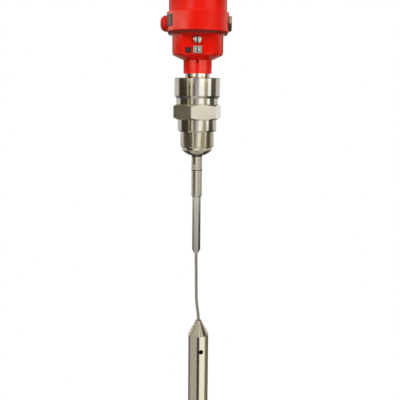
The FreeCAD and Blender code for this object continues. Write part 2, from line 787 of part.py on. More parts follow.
plug_corner = dim.plug_flats / math.sqrt(3)
plug_chamfer = dim.plug_flats / 2 - dim.collar_chamfer / 2
plug_top = dim.plug_seal + dim.plug_head
plug_fall = (plug_corner - plug_chamfer) * math.tan(math.radians(30))
plug = turned("blanking_plug", [
    (ZERO, -dim.entry_thread_length),
    (entry_thread, -dim.entry_thread_length),
    (entry_thread, dim.plug_seal),
    (plug_corner, dim.plug_seal),
    (plug_corner, plug_top - plug_fall),
    (plug_chamfer, plug_top),
    (ZERO, plug_top)])
cut_hexagon(plug, dim.plug_flats, dim.plug_seal, plug_top, dim.plug_turn)
seal = tube("plug_seal", dim.entry_dia / 2, dim.plug_seal_dia / 2, ZERO, dim.plug_seal)
for piece in (plug, seal):
    face_outwards(piece, (0, 1, 0), 90)
    bind(piece, "Placement.Base.x", dim.entry_face)
    bind(piece, "Placement.Base.z", dim.entry_height)


def screw_in_front(label, shank, shank_length, head, head_height):
    """A screw with a round head, its shank below the head."""
    screw = turned(label, [
        (ZERO, -shank_length),
        (shank, -shank_length),
        (shank, ZERO),
        (head, ZERO),
        (head, head_height),
        (ZERO, head_height)])
    return screw


def stand_on_front(piece, face, height, across=None):
    face_outwards(piece, (1, 0, 0), 90)
    bind(piece, "Placement.Base.y", -face)
    bind(piece, "Placement.Base.z", height)
    if across is not None:
        bind(piece, "Placement.Base.x", across)


def cut_slot(screw, half_length, half_width, top, depth):
    slot = new_sketch(screw, "slot", "XY_Plane", top)
    draw_outline(slot, rectangle(-half_width, half_width, -half_length, half_length))
    add_feature(screw, "Pocket", "slot", slot, depth)


# Earth terminal: hexagon screw above, square wire clamp with its screw below
front_wall = dim.can_flat - screw_floor
earth_corner = dim.earth_screw_flats / math.sqrt(3)
earth_screw = screw_in_front("earth_screw", earth_hole - dim.loose_gap, front_wall,
                             earth_corner, dim.earth_screw_head)
cut_hexagon(earth_screw, dim.earth_screw_flats, ZERO, dim.earth_screw_head)
cut_slot(earth_screw, earth_corner, dim.earth_slot / 2, dim.earth_screw_head,
         dim.earth_slot)
stand_on_front(earth_screw, dim.can_flat, dim.earth_screw_height)

clamp = new_body("earth_clamp")
clamp_plate = new_sketch(clamp, "plate", "XY_Plane")
draw_outline(clamp_plate, rectangle(-dim.clamp_width / 2, dim.clamp_width / 2,
                                    -dim.clamp_tall / 2, dim.clamp_tall / 2))
add_feature(clamp, "Pad", "plate", clamp_plate, dim.clamp_thickness)
clamp_posts = new_sketch(clamp, "posts", "XY_Plane", dim.clamp_thickness)
for side in (-1, 1):
    outer = dim.clamp_width / 2 * side
    inner = (dim.clamp_width / 2 - dim.clamp_post) * side
    left, right = (outer, inner) if side < 0 else (inner, outer)
    draw_outline(clamp_posts, rectangle(left, right, -dim.clamp_tall / 2, dim.clamp_tall / 2))
add_feature(clamp, "Pad", "posts", clamp_posts, dim.clamp_post_reach - dim.clamp_thickness)
clamp_bore = new_sketch(clamp, "bore", "XY_Plane", dim.clamp_thickness)
draw_circle(clamp_bore, ZERO, ZERO, clamp_hole + dim.loose_gap)
add_feature(clamp, "Pocket", "bore", clamp_bore, dim.clamp_thickness)
stand_on_front(clamp, dim.can_flat, dim.clamp_height)

clamp_face = dim.can_flat + dim.clamp_thickness
clamp_screw = screw_in_front("clamp_screw", clamp_hole - dim.loose_gap,
                             front_wall + dim.clamp_thickness, dim.clamp_screw_head / 2,
                             dim.clamp_screw_head_height)
cut_slot(clamp_screw, dim.clamp_screw_head / 2, dim.earth_slot / 3,
         dim.clamp_screw_head_height, dim.earth_slot)
stand_on_front(clamp_screw, clamp_face, dim.clamp_height)

symbol = new_body("symbol_plate")
symbol_sketch = new_sketch(symbol, "plate", "XY_Plane")
draw_outline(symbol_sketch, rectangle(-dim.symbol_across / 2, dim.symbol_across / 2,
                                      -dim.symbol_across / 2, dim.symbol_across / 2))
add_feature(symbol, "Pad", "plate", symbol_sketch, dim.plate_thickness)
stand_on_front(symbol, dim.can_flat, dim.symbol_height, dim.symbol_offset)

# Lock screw: its tip stands in the neck's groove and its end is below the red neck's face
lock_tip = lock_radius + dim.body_gap
lock_length = neck_outer - dim.collar_chamfer - lock_tip
lock_screw = tube("lock_screw", ZERO, dim.lock_screw_dia / 2 - dim.loose_gap, ZERO, lock_length)
socket = new_sketch(lock_screw, "socket", "XY_Plane", lock_length)
draw_outline(socket, hexagon(dim.lock_screw_dia / 2))
add_feature(lock_screw, "Pocket", "socket", socket, lock_length / 3)
stand_on_front(lock_screw, lock_tip, dim.lock_height)


# Plate on the entry ring: a strip of a cylinder's wall
def wall_cylinder(name, radius, height):
    cylinder = doc.addObject("Part::Cylinder", name)
    bind(cylinder, "Radius", radius)
    bind(cylinder, "Height", height)
    bind(cylinder, "Angle", dim.plate_arc)
    return cylinder


plate_inner = ring_radius + dim.running_gap
label_plate = doc.addObject("Part::Cut", "label_plate")
label_plate.Base = wall_cylinder("plate_outside", plate_inner + dim.plate_thickness,
                                 dim.plate_height)
label_plate.Tool = wall_cylinder("plate_inside", plate_inner, dim.plate_height)
plate_start = dim.plate_turn.value - dim.plate_arc.value / 2 - 90
label_plate.Placement = FreeCAD.Placement(
    FreeCAD.Vector(0, 0, 0), FreeCAD.Rotation(FreeCAD.Vector(0, 0, 1), plate_start))
bind(label_plate, "Placement.Base.z", dim.plate_middle - dim.plate_height / 2)

# Probe: coupling nut with two wrench flats, lock washer, sleeve and swage terminal
nut_radius = dim.nut_dia / 2
stud_radius = conductor_radius - dim.loose_gap
nut = tube("coupling_nut", conductor_radius + dim.loose_gap, nut_radius, nut_end, seal_end)
nut_flats = new_sketch(nut, "flats", "XY_Plane", nut_end + dim.nut_flat_length, dim.nut_turn)
draw_outline(nut_flats, rectangle(-dim.nut_dia, -dim.nut_flats / 2, -dim.nut_dia, dim.nut_dia))
draw_outline(nut_flats, rectangle(dim.nut_flats / 2, dim.nut_dia, -dim.nut_dia, dim.nut_dia))
add_feature(nut, "Pocket", "flats", nut_flats, dim.nut_flat_length - dim.washer_thickness)
tube("lock_washer", conductor_radius + dim.loose_gap, dim.washer_dia / 2, washer_end, nut_end)

swage_top = sleeve_end + dim.swage_spigot
sleeve = turned("cable_sleeve", [
    (ZERO, swage_top),
    (conductor_radius + dim.loose_gap, swage_top),
    (conductor_radius + dim.loose_gap, sleeve_end),
    (nut_radius, sleeve_end),
    (nut_radius, washer_end),
    (stud_radius, washer_end),
    (stud_radius, nut_end + dim.stud_length),
    (ZERO, nut_end + dim.stud_length)])
soften(sleeve, "Chamfer", "end", nut_radius, sleeve_end, dim.sleeve_chamfer)

swage = turned("swage_terminal", [
    (ZERO, swage_top),
    (stud_radius, swage_top),
    (stud_radius, sleeve_end),
    (dim.swage_flats / math.sqrt(3), sleeve_end),
    (dim.swage_flats / math.sqrt(3), swage_end),
    (dim.rope_dia / 2, rope_start),
    (ZERO, rope_start)])
cut_hexagon(swage, dim.swage_flats, rope_start, sleeve_end)

# Weight on the rope's end, on an axis of its own, with a bore and a set screw that grips
weight_radius = dim.weight_dia / 2
weight_bore = dim.rope_dia / 2 + dim.rope_gap
cone_end = dim.weight_tip - dim.weight_cone
weight_end = dim.weight_tip - dim.weight_length
bore_end = dim.weight_tip - dim.weight_bore_depth
weight = turned("weight", [
    (weight_bore, dim.weight_tip),
    (dim.weight_tip_dia / 2, dim.weight_tip),
    (weight_radius, cone_end),
    (weight_radius, weight_end),
    (ZERO, weight_end),
    (ZERO, bore_end),
    (weight_bore, bore_end)])
soften(weight, "Chamfer", "end", weight_radius, weight_end, dim.weight_edge)
set_height = dim.weight_tip - dim.set_screw_drop
set_hole = new_sketch(weight, "set_hole", "XZ_Plane")
draw_circle(set_hole, ZERO, set_height, dim.set_screw_dia / 2)
add_feature(weight, "Pocket", "set_hole", set_hole, dim.weight_dia, backwards=True)
weight.Placement = FreeCAD.Placement(
    FreeCAD.Vector(0, 0, 0), FreeCAD.Rotation(FreeCAD.Vector(0, 0, 1), dim.set_screw_turn.value))
bind(weight, "Placement.Base.x", dim.weight_offset)

set_radius = dim.set_screw_dia / 2 - dim.loose_gap
set_screw = tube("set_screw", ZERO, set_radius, ZERO, dim.set_screw_length)
set_socket = new_sketch(set_screw, "socket", "XY_Plane", dim.set_screw_length)
draw_outline(set_socket, hexagon(dim.set_screw_dia / 2))
add_feature(set_screw, "Pocket", "socket", set_socket, dim.set_screw_length / 2)
set_screw.Placement = FreeCAD.Placement(
    FreeCAD.Vector(0, 0, 0),
    FreeCAD.Rotation(FreeCAD.Vector(0, 0, 1), dim.set_screw_turn.value)
    * FreeCAD.Rotation(FreeCAD.Vector(1, 0, 0), 90))
bind(set_screw, "Placement.Base.x", dim.weight_offset + weight_bore * sine(dim.set_screw_turn))
bind(set_screw, "Placement.Base.y", -weight_bore * cosine(dim.set_screw_turn))
bind(set_screw, "Placement.Base.z", set_height)


# Wire rope: straight runs joined by tangent arcs through the route's bends
def rope_path(points):
    edges = []
    start = points[0]
    for before, bend, after in zip(points, points[1:], points[2:]):
        arriving = (bend - before).normalize()
        leaving = (after - bend).normalize()
        half_turn = arriving.getAngle(leaving) / 2
        reach = 0.45 * min((bend - before).Length, (after - bend).Length)
        radius = reach / math.tan(half_turn)
        first = bend - arriving * reach
        last = bend + leaving * reach
        inward = (leaving - arriving).normalize()
        middle = bend + inward * (radius / math.cos(half_turn) - radius)
        print("rope bend radius %.0f mm" % radius)
        edges.append(Part.LineSegment(start, first).toShape())
        edges.append(Part.Arc(first, middle, last).toShape())
        start = last
    edges.append(Part.LineSegment(start, points[-1]).toShape())
    return Part.Wire(edges)


weight_x = dim.weight_offset.value
route = [FreeCAD.Vector(0, 0, rope_start.value)]
route += [FreeCAD.Vector(across, 0, height) for across, height in ROPE_BENDS]
route += [FreeCAD.Vector(weight_x, 0, height) for height in ROPE_STRAIGHT]
path = rope_path(route)
rope_radius = dim.rope_dia.value / 2
section = Part.Wire([Part.makeCircle(rope_radius, route[0], route[1] - route[0])])
rope = doc.addObject("Part::Feature", "probe_rope")
rope.Shape = path.makePipeShell([section], True, False)
rope_volume = math.pi * rope_radius ** 2 * path.Length
print("rope length %.1f mm, volume %.0f of %.0f" % (path.Length, rope.Shape.Volume, rope_volume))

doc.recompute()
failed = [item.Name for item in doc.Objects if set(item.State) & {"Invalid", "Error"}]
if failed:
    raise RuntimeError("objects that failed: " + ", ".join(failed))
pieces = [item for item in doc.Objects if item.TypeId == "PartDesign::Body"]
pieces += [label_plate, rope]
os.makedirs("parts", exist_ok=True)
for piece in pieces:
    if piece.Shape.isNull() or not piece.Shape.isValid():
        raise RuntimeError(piece.Label + " has no valid shape")
for piece in pieces:
    piece.Shape.exportStep("parts/%s.step" % piece.Label)
print("%d pieces written" % len(pieces))
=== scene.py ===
import math

import bmesh
import bpy
from mathutils import Matrix, Vector


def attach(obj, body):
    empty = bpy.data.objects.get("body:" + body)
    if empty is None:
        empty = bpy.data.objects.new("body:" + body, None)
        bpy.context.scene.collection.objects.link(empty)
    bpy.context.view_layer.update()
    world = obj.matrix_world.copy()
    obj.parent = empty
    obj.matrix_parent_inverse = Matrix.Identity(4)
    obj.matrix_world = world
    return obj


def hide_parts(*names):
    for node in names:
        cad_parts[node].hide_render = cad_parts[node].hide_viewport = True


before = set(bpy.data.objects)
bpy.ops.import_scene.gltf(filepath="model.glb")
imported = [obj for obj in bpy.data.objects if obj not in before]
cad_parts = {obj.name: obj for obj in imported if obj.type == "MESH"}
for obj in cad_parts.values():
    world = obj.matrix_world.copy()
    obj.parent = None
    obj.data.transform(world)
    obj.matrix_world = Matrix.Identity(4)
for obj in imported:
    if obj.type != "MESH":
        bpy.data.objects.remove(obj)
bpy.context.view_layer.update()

# Camera
# It stands level with the steel collar, nearly 0.9 m in front of the transmitter, and looks
# down a little, so the lid and the weight both run out of the picture.
CAMERA_PLACE = Vector((0.005, -0.868, 0.0535))
CAMERA_DIP = 9.95
CAMERA_ROLL = 0.52
FOCAL_PIXELS = 610
PICTURE_PIXELS = 400

camera_data = bpy.data.cameras.new("camera")
camera_data.sensor_width = 36
camera_data.lens = FOCAL_PIXELS / PICTURE_PIXELS * camera_data.sensor_width
camera_data.clip_start = 0.01
camera = bpy.data.objects.new("camera", camera_data)
bpy.context.collection.objects.link(camera)
camera.matrix_world = (
    Matrix.Translation(CAMERA_PLACE)
    @ Matrix.Rotation(math.radians(90 - CAMERA_DIP), 4, "X")
    @ Matrix.Rotation(math.radians(CAMERA_ROLL), 4, "Z"))
bpy.context.scene.camera = camera
bpy.context.scene.view_settings.view_transform = "Standard"

# Studio
# A white room round the object with upright cards in it: dark flags and pale strips between
# them. Polished steel is seen by what it reflects, so the cards make its bands. They stand in
# tiers, because the lid looks up at other cards than the weight at the bottom does.
WHITE = (1.0, 1.0, 0.98)
GLARE = (2.4, 2.25, 1.65)
BLAZE = (3.4, 3.1, 2.5)
PALE = (0.56, 0.54, 0.50)
CREAM = (0.88, 0.84, 0.68)
IVORY = (1.0, 0.95, 0.82)
BEIGE = (0.66, 0.60, 0.44)
STONE = (0.43, 0.40, 0.32)
GREY = (0.42, 0.41, 0.38)
OLIVE = (0.34, 0.30, 0.17)
MAUVE = (0.46, 0.42, 0.44)
SLATE = (0.17, 0.17, 0.18)
DIM = (0.16, 0.14, 0.10)
FLAG = (0.045, 0.038, 0.024)
WARM_FLAG = (0.09, 0.08, 0.055)
BLACK = (0.008, 0.008, 0.010)
# Each tier: the height it starts at, in degrees above the camera's level, and its cards. A
# card is a tone and the place where it is reached, in degrees round to the right.
TIERS = [
    (-90, [(-180, STONE), (-150, SLATE), (-116, SLATE), (-94, STONE), (-18, STONE),
           (-13, BLACK), (7, BLACK), (13, STONE), (18, IVORY), (76, IVORY), (84, OLIVE),
           (104, DIM), (150, DIM), (180, GREY)]),
    (-17, [(-180, GREY), (-120, DIM), (-90, STONE), (-60, GREY), (50, GREY), (70, BLACK),
           (150, FLAG), (180, PALE)]),
    (-10.2, [(-180, PALE), (-118, PALE), (-92, STONE), (-76, FLAG), (-42, FLAG), (-26, STONE),
             (-8, CREAM), (6, CREAM), (16, STONE), (44, STONE), (58, PALE), (74, PALE),
             (92, STONE), (110, STONE), (134, PALE), (180, PALE)]),
    (-5.8, [(-180, PALE), (-116, PALE), (-98, FLAG), (-39, FLAG), (-34, STONE), (-25, BEIGE),
            (-19, SLATE), (-9, SLATE), (-4, BEIGE), (3, BEIGE), (9, WHITE), (22, WHITE),
            (28, OLIVE), (54, OLIVE), (58, BEIGE), (65, BEIGE), (70, FLAG), (99, FLAG),
            (112, STONE), (150, PALE), (180, WHITE)]),
    (-3.5, [(-180, PALE), (-112, PALE), (-99, FLAG), (-55, FLAG), (-52, OLIVE),
            (-46, OLIVE), (-43, WARM_FLAG), (-36, WARM_FLAG), (-32, BEIGE), (-26, BEIGE),
            (-22, SLATE), (-11, SLATE), (-6, MAUVE), (5, MAUVE), (11, WHITE), (33, WHITE),
            (38, OLIVE), (45, STONE), (52, OLIVE), (57, WHITE), (69, WHITE), (74, WARM_FLAG),
            (101, WARM_FLAG), (110, PALE), (140, PALE), (160, WHITE), (180, WHITE)]),
    (1.8, [(-180, SLATE), (-150, SLATE), (-122, FLAG), (-86, FLAG), (-60, PALE),
           (-32, BLAZE), (-22, BLAZE), (-13, FLAG), (8, FLAG), (15, BLAZE), (30, BLAZE),
           (64, GLARE), (88, DIM), (118, FLAG), (150, DIM), (180, SLATE)]),
    (3.3, [(-180, FLAG), (-155, DIM), (-126, PALE), (-104, FLAG), (-74, FLAG), (-64, GLARE),
           (-42, GLARE), (-30, FLAG), (30, FLAG), (44, PALE), (62, PALE), (74, FLAG),
           (98, FLAG), (117, PALE), (127, PALE), (146, DIM), (180, FLAG)]),
    (5.4, [(-180, SLATE), (-146, PALE), (-120, GLARE), (-52, GLARE), (-30, SLATE),
           (-10, FLAG), (60, DIM), (82, SLATE), (98, PALE), (124, WHITE), (146, PALE),
           (180, SLATE)]),
    (7.4, [(-180, SLATE), (-150, DIM), (-136, PALE), (-122, DIM), (-84, SLATE), (-62, FLAG),
           (-48, DIM), (-37, WHITE), (-24, WHITE), (-12, SLATE), (24, SLATE), (40, PALE),
           (66, PALE), (84, FLAG), (110, DIM), (132, PALE), (142, PALE), (180, DIM)]),
    (15, [(-180, DIM), (-140, STONE), (-100, OLIVE), (-82, STONE), (-30, STONE),
          (-14, PALE), (-3, DIM), (8, CREAM), (24, STONE), (38, STONE), (49, CREAM),
          (62, DIM), (78, FLAG), (96, DIM), (130, DIM), (160, OLIVE), (180, OLIVE)])]
SEAM = 0.3
# Below the lowest cards the room is dim, so that undersides stay dark: the share of its light
# there, and the heights of a unit direction between which it falls to that share.
DIM_SHARE = 0.25
DIM_FROM = -0.5
DIM_BELOW = -0.62


def add_node(tree, kind, inputs=None, **settings):
    """A shader node with its settings, each input a value or another node's output."""
    made = tree.nodes.new("ShaderNode" + kind)
    for name, value in settings.items():
        setattr(made, name, value)
    for name, value in (inputs or {}).items():
        if isinstance(value, bpy.types.NodeSocket):
            tree.links.new(value, made.inputs[name])
        else:
            made.inputs[name].default_value = value
    return made


def set_ramp(ramp, stops):
    """Fill a colour ramp with stops of position and colour."""
    elements = ramp.color_ramp.elements
    while len(elements) > 1:
        elements.remove(elements[-1])
    elements[0].position = stops[0][0]
    elements[0].color = (*stops[0][1], 1)
    for position, colour in stops[1:]:
        elements.new(position).color = (*colour, 1)


world = bpy.data.worlds.new("studio")
bpy.context.scene.world = world
world.use_nodes = True
tree = world.node_tree
tree.nodes.clear()
direction = add_node(tree, "TexCoord").outputs["Generated"]
split = add_node(tree, "SeparateXYZ", {"Vector": direction})
towards = add_node(tree, "Math", {0: split.outputs["Y"], 1: -1.0}, operation="MULTIPLY")
bearing = add_node(tree, "Math", {0: split.outputs["X"], 1: towards.outputs[0]},
                   operation="ARCTAN2")
turn = add_node(tree, "MapRange", {"Value": bearing.outputs[0], "From Min": -math.pi,
                                   "From Max": math.pi})
room = None
for start, cards in TIERS:
    tier = add_node(tree, "ValToRGB", {"Fac": turn.outputs[0]})
    set_ramp(tier, [((degrees + 180) / 360, tone) for degrees, tone in cards])
    if room is None:
        room = tier.outputs["Color"]
    else:
        share = add_node(tree, "MapRange", {
            "Value": split.outputs["Z"], "From Min": math.sin(math.radians(start)),
            "From Max": math.sin(math.radians(start + SEAM))})
        blend = add_node(tree, "Mix", {0: share.outputs[0], 6: room,
                                       7: tier.outputs["Color"]}, data_type="RGBA")
        room = blend.outputs[2]
rise = add_node(tree, "MapRange", {"Value": split.outputs["Z"], "From Min": DIM_BELOW,
                                   "From Max": DIM_FROM, "To Min": DIM_SHARE,
                                   "To Max": 1.0})
shaded = add_node(tree, "VectorMath", {0: room, "Scale": rise.outputs[0]},
                  operation="SCALE")
seen = add_node(tree, "LightPath").outputs["Is Camera Ray"]
sky = add_node(tree, "Mix", {0: seen, 6: shaded.outputs[0], 7: (1, 1, 1, 1)},
               data_type="RGBA")
background = add_node(tree, "Background", {"Color": sky.outputs[2], "Strength": 1.0})
add_node(tree, "OutputWorld", {"Surface": background.outputs[0]})

# Lamps
# Two large soft lamps give the paint its colour. They don't show in the steel, which has the
# cards to reflect.
LAMP_SIZE = 0.9
LAMP_AIM = Vector((0, 0, 0.05))
for name, place, power in (
        ("key_lamp", (-0.6, -1.0, 1.0), 10.8), ("fill_lamp", (0.9, -1.0, 0.4), 7)):
    data = bpy.data.lights.new(name, "AREA")
    data.size = LAMP_SIZE
    data.energy = power
    lamp = bpy.data.objects.new(name, data)
    bpy.context.collection.objects.link(lamp)
    aim = LAMP_AIM - Vector(place)
    lamp.matrix_world = (Matrix.Translation(place)
                         @ aim.to_track_quat("-Z", "Y").to_matrix().to_4x4())
    lamp.visible_glossy = False

# Floor
# A round pale sheet under the hanging probe, small enough to stay below the picture. It
# belongs to the studio and not to the transmitter.
FLOOR_RADIUS = 0.34
FLOOR_HEIGHT = -0.62
FLOOR_TONE = (0.6, 0.6, 0.59, 1)


def finished_mesh(name, mesh, body, finish):
    """An object for a finished mesh that moves with a body and wears one material."""
    piece = bpy.data.objects.new(name, mesh)
    bpy.context.collection.objects.link(piece)
    piece.data.materials.append(finish)
    if body:
        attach(piece, body)
    return piece


def shader_of(name):
    """A new material, its node tree and its Principled shader."""
    made = bpy.data.materials.new(name)
    made.use_nodes = True
    return made, made.node_tree, made.node_tree.nodes["Principled BSDF"]


floor_paper, tree, paper = shader_of("floor_paper")
paper.inputs["Base Color"].default_value = FLOOR_TONE
paper.inputs["Roughness"].default_value = 0.8
shape = bmesh.new()
bmesh.ops.create_circle(shape, cap_ends=True, segments=96, radius=FLOOR_RADIUS,
                        matrix=Matrix.Translation((0, 0, FLOOR_HEIGHT)))
mesh = bpy.data.meshes.new("floor")
shape.to_mesh(mesh)
finished_mesh("floor", mesh, None, floor_paper)

# Wire rope
# Six strands laid round a core strand, drawn steel. It leaves the swage terminal straight,
# bends a little to the right and runs down into the bore of the weight.
ROPE_START = (0, 0, -0.1786)
ROPE_POINTS = [ROPE_START, (0, 0, -0.1930), (0.0005, 0, -0.2110), (0.0005, 0, -0.2360),
               (0.0013, 0, -0.2550), (0.0043, 0, -0.2750), (0.0043, 0, -0.2960),
               (0.0043, 0, -0.3290)]
ROPE_DIAMETER = 0.0044
STRANDS = 6
LAY_LENGTH = 0.026
STEPS_PER_LAY = 24
GRIME_SCALE = 900.0
ROPE_TONES = [(0.52, 0.50, 0.45), (0.78, 0.76, 0.70)]

line_data = bpy.data.curves.new("rope_line", "CURVE")
line_data.dimensions = "3D"
line_data.resolution_u = 40
spline = line_data.splines.new("NURBS")
spline.points.add(len(ROPE_POINTS) - 1)
for point, place in zip(spline.points, ROPE_POINTS):
    point.co = (*place, 1)
spline.order_u = 3
spline.use_endpoint_u = True
line = bpy.data.objects.new("rope_line", line_data)
line_mesh = bpy.data.meshes.new_from_object(line)
rope_path = [vertex.co.copy() for vertex in line_mesh.vertices]
bpy.data.meshes.remove(line_mesh)
bpy.data.objects.remove(line)


def spaced(points, step):
    """Points an even step apart along a path, with the path's direction at each."""
    places, covered, due = [], 0.0, 0.0
    for before, after in zip(points, points[1:]):
        span = (after - before).length
        while due <= covered + span and span > 0:
            share = (due - covered) / span
            places.append((before.lerp(after, share), (after - before).normalized()))
            due += step
        covered += span
    places.append((points[-1], (points[-1] - points[-2]).normalized()))
    return places, covered


rope_places, rope_length = spaced(rope_path, LAY_LENGTH / STEPS_PER_LAY)
strand_radius = ROPE_DIAMETER / 6
strands = bpy.data.curves.new("rope_strands", "CURVE")
strands.dimensions = "3D"
strands.bevel_depth = strand_radius
strands.bevel_resolution = 2
strands.use_fill_caps = True
for strand in range(STRANDS + 1):
    away = 0 if strand == STRANDS else ROPE_DIAMETER / 2 - strand_radius
    run = strands.splines.new("POLY")
    run.points.add(len(rope_places) - 1)
    for step, (place, heading) in enumerate(rope_places):
        angle = 2 * math.pi * (step / STEPS_PER_LAY + strand / STRANDS)
        side = heading.cross(Vector((0, 1, 0))).normalized()
        offset = side * math.cos(angle) + Vector((0, 1, 0)) * math.sin(angle)
        run.points[step].co = (*(place + offset * away), 1)
    run.use_smooth = True
strands_object = bpy.data.objects.new("rope_strands", strands)
rope_mesh = bpy.data.meshes.new_from_object(strands_object)
rope_mesh.name = "probe_rope_strands"
bpy.data.objects.remove(strands_object)


def cloud(tree, place, scale, detail=2.0):
    """A value that wanders from spot to spot over a surface."""
    noise = add_node(tree, "TexNoise", {"Vector": place, "Scale": scale, "Detail": detail})
    return noise.outputs["Fac"]


def tinted(tree, value, tones, spread=(0.3, 0.7)):
    """A colour that goes from one tone to another while the input goes over a spread."""
    ramp = add_node(tree, "ValToRGB", {"Fac": value})
    set_ramp(ramp, list(zip(spread, tones)))
    return ramp.outputs["Color"]


rope_steel, tree, steel = shader_of("rope_steel")
place = add_node(tree, "TexCoord").outputs["Object"]
grime = cloud(tree, place, GRIME_SCALE, 3.0)
tree.links.new(tinted(tree, grime, ROPE_TONES), steel.inputs["Base Color"])
steel.inputs["Metallic"].default_value = 1.0
steel.inputs["Roughness"].default_value = 0.42
rope = finished_mesh("probe_rope_strands", rope_mesh, "probe", rope_steel)
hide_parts("probe_rope")

# Turned steel
# Stainless bar, turned bright: fine rings run round the axis, and they blur what the steel
# reflects a little. The hexagon's faces are milled, so they are duller.
STEEL_TONE = (0.86, 0.83, 0.76, 1)
SWAGE_TONE = (0.86, 0.86, 0.84, 1)
SPRING_SHADE_TONE = (0.16, 0.15, 0.13, 1)
HEX_LOW = 0.0165
HEX_HIGH = 0.038
MILLED_DULLER = 0.13
RING_SCALE = 4200.0
SMUDGE_SCALE = 120.0
RING_DEPTH = 0.0001
# The rings and the smudges add up to a value in this span, which varies a roughness by these
# shares of it.
MARKS_SPAN = (0.6, 1.4)
ROUGHNESS_SHARES = (0.75, 1.3)


def dress(finish, *names):
    """Put a finish on CAD nodes."""
    for name in names:
        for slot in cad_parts[name].material_slots:
            slot.material = finish


def between(tree, value, low, high, low_value=0.0, high_value=1.0):
    """A value that runs evenly from one level to another while the input rises."""
    return add_node(tree, "MapRange", {
        "Value": value, "From Min": low, "From Max": high, "To Min": low_value,
        "To Max": high_value}).outputs[0]


def product(tree, first, second):
    return add_node(tree, "Math", {0: first, 1: second}, operation="MULTIPLY").outputs[0]


def is_above(tree, value, level):
    return add_node(tree, "Math", {0: value, 1: level}, operation="GREATER_THAN").outputs[0]


def is_below(tree, value, level):
    return add_node(tree, "Math", {0: value, 1: level}, operation="LESS_THAN").outputs[0]


def turned_steel(name, roughness, tone=STEEL_TONE, milled=None):
    """Steel with fine rings round its axis, and a duller band where it is milled."""
    made, tree, steel = shader_of(name)
    place = add_node(tree, "TexCoord").outputs["Object"]
    split = add_node(tree, "SeparateXYZ", {"Vector": place})
    rings = add_node(tree, "CombineXYZ", {"Z": split.outputs["Z"]})
    marks = cloud(tree, rings.outputs[0], RING_SCALE)
    smudges = cloud(tree, place, SMUDGE_SCALE, 4.0)
    both = add_node(tree, "Math", {0: marks, 1: smudges}, operation="ADD")
    brightest, dullest = [roughness * share for share in ROUGHNESS_SHARES]
    level = between(tree, both.outputs[0], *MARKS_SPAN, brightest, dullest)
    if milled:
        low, high = milled
        height = split.outputs["Z"]
        band = product(tree, is_above(tree, height, low), is_below(tree, height, high))
        dulled = add_node(tree, "Math", {0: band, 1: MILLED_DULLER, 2: level},
                          operation="MULTIPLY_ADD")
        level = dulled.outputs[0]
    tree.links.new(level, steel.inputs["Roughness"])
    bump = add_node(tree, "Bump", {"Height": marks, "Strength": 0.06,
                                   "Distance": RING_DEPTH})
    tree.links.new(bump.outputs[0], steel.inputs["Normal"])
    steel.inputs["Base Color"].default_value = tone
    steel.inputs["Metallic"].default_value = 1.0
    return made


fitting_steel = turned_steel("fitting_steel", 0.08, milled=(HEX_LOW, HEX_HIGH))
dress(fitting_steel, "process_fitting")
dress(turned_steel("adapter_steel", 0.06), "neck_adapter", "gland_ring", "inner_conductor")
dress(turned_steel("probe_steel", 0.14), "coupling_nut", "cable_sleeve")
# Painted shade: the lock washer is given dark steel for the line of shadow it sits in under
# the coupling nut.
dress(turned_steel("spring_steel", 0.3, tone=SPRING_SHADE_TONE), "lock_washer")
dress(turned_steel("swage_steel", 0.18, tone=SWAGE_TONE), "swage_terminal")
weight_steel = turned_steel("weight_steel", 0.16)
dress(weight_steel, "weight")

# Set screw hole
# Painted shade in the hole in the weight, which covers the screw down in it too. The steel
# is painted dark near the hole's axis, but not on the weight's skin.
HOLE_CENTRE = (0.0043, 0, -0.326)
HOLE_TURN = math.radians(17)
HOLE_AXIS = (math.sin(HOLE_TURN), -math.cos(HOLE_TURN), 0)
HOLE_SHADE_RADIUS = 0.0037
HOLE_SHADE_REACH = 0.0146
HOLE_SHADE_TONE = (0.03, 0.028, 0.025, 1)


def mixed(tree, share, plain, marked):
    """Two tones mixed by a share of the second."""
    return add_node(tree, "Mix", {0: share, 6: plain, 7: marked}, data_type="RGBA").outputs[2]


tree = weight_steel.node_tree
steel = tree.nodes["Principled BSDF"]
place = add_node(tree, "TexCoord").outputs["Object"]
away = add_node(tree, "VectorMath", {0: place, 1: HOLE_CENTRE}, operation="SUBTRACT")
across = add_node(tree, "VectorMath", {0: away.outputs[0], 1: HOLE_AXIS},
                  operation="CROSS_PRODUCT")
off_axis = add_node(tree, "VectorMath", {0: across.outputs[0]}, operation="LENGTH")
flattened = add_node(tree, "VectorMath", {0: away.outputs[0], 1: (1, 1, 0)},
                     operation="MULTIPLY")
out_far = add_node(tree, "VectorMath", {0: flattened.outputs[0]}, operation="LENGTH")
# Painted shade: dark tone inside the set screw hole.
hole_shade = product(tree, is_below(tree, off_axis.outputs["Value"], HOLE_SHADE_RADIUS),
                  is_below(tree, out_far.outputs["Value"], HOLE_SHADE_REACH))
tree.links.new(mixed(tree, hole_shade, STEEL_TONE, HOLE_SHADE_TONE), steel.inputs["Base Color"])

# Pipe thread
# The CAD fitting leaves its thread plain. Here the plain band gives way to a right-hand pipe
# thread, eleven turns to the inch, its crests left flat by the turning tool.
THREAD_RADIUS = 0.0239
THREAD_BOTTOM = -0.0210
PITCH = 0.0254 / 11
THREAD_DEPTH = 0.0010
COLUMNS = 144
SHARP_ANGLE = math.radians(22)
CAD_WELD = 1e-7
THREAD_WELD = 1e-6
HEIGHT_SLACK = 1e-5
RADIUS_SLACK = 2e-5
# Share of a turn's height and depth there, from the start of one crest to the next
THREAD_PROFILE = [(0.0, 0.0), (0.42, 0.0), (0.60, 1.0), (0.82, 1.0)]

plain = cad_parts["process_fitting"]
shape = bmesh.new()
shape.from_mesh(plain.data)
bmesh.ops.transform(shape, matrix=plain.matrix_world, verts=shape.verts)
bmesh.ops.remove_doubles(shape, verts=shape.verts, dist=CAD_WELD)


